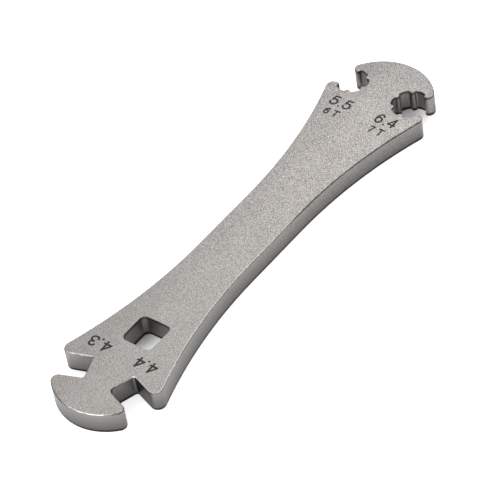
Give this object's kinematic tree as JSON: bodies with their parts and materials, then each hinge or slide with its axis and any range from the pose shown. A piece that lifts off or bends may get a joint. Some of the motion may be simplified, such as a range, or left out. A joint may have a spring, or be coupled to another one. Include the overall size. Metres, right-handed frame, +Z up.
{
  "type": "spoke wrench",
  "caption": "Flat dog-bone spoke wrench with open jaws at one end, splined sockets at the other and a square key hole.",
  "frame": {"origin": "centre of the outline on the underside, where the wrench lies flat", "axes": "+Z up through the plate, +X along its length towards the splined end, +Y towards the side with the smaller jaw and the smaller socket"},
  "size_m": [0.0886, 0.019, 0.004],
  "materials": {
    "steel": "fine bead-blasted grey",
    "marking": "dark laser marking"
  },
  "bodies": {
    "root": {"wrench_body": "steel"}
  },
  "joints": []
}
